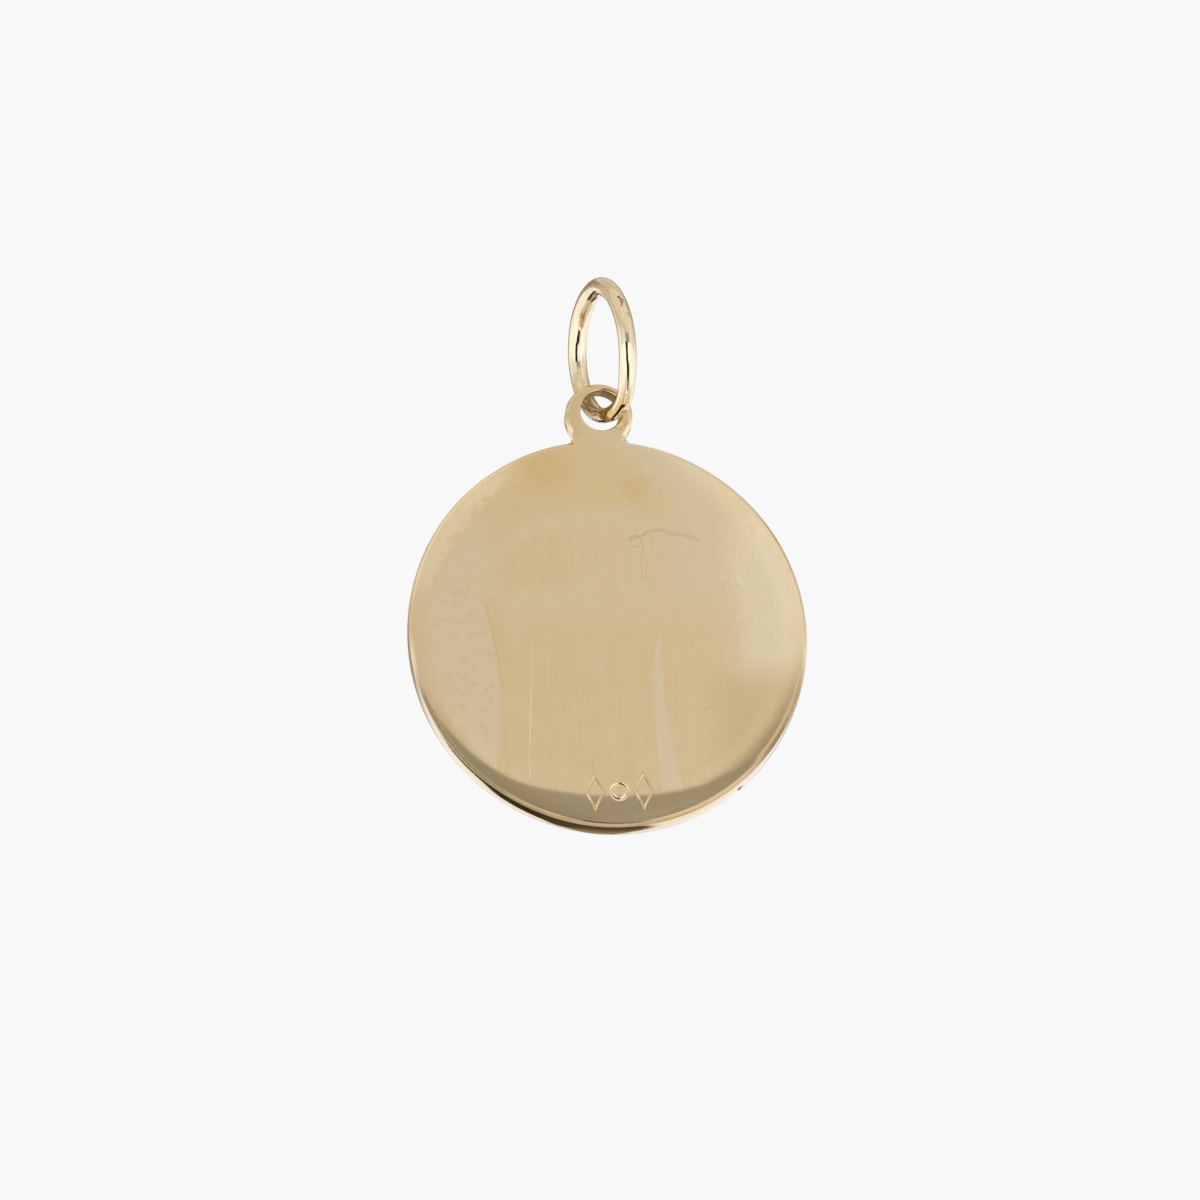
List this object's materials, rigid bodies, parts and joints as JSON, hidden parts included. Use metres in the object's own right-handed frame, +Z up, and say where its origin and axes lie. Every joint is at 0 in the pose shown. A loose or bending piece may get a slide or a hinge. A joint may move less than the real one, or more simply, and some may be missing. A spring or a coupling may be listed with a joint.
{
  "type": "disc charm",
  "caption": "Round flat gold disc charm with a pierced ear at its top, hanging from a plain round jump ring.",
  "frame": {"origin": "top of the jump ring's inside, where a chain or a thread bears", "axes": "+Z up along the hanging disc's height, the disc's plain back faces -Y, its front faces +Y"},
  "size_m": [0.019, 0.0066, 0.0266],
  "materials": {
    "disc_gold": "14 karat yellow gold, polished and finely brushed by wear",
    "ring_gold": "14 karat yellow gold wire, bright polished"
  },
  "bodies": {
    "ring": {"jump_ring": "ring_gold"},
    "pendant": {"disc": "disc_gold"}
  },
  "joints": [
    {"name": "disc_swing", "type": "hinge", "parent": "ring", "child": "pendant", "pos_m": [0.00021, 0.00109, -0.00544], "axis": [-0.3339, 0.8876, 0.3174], "range_deg": [-105, 105]}
  ]
}
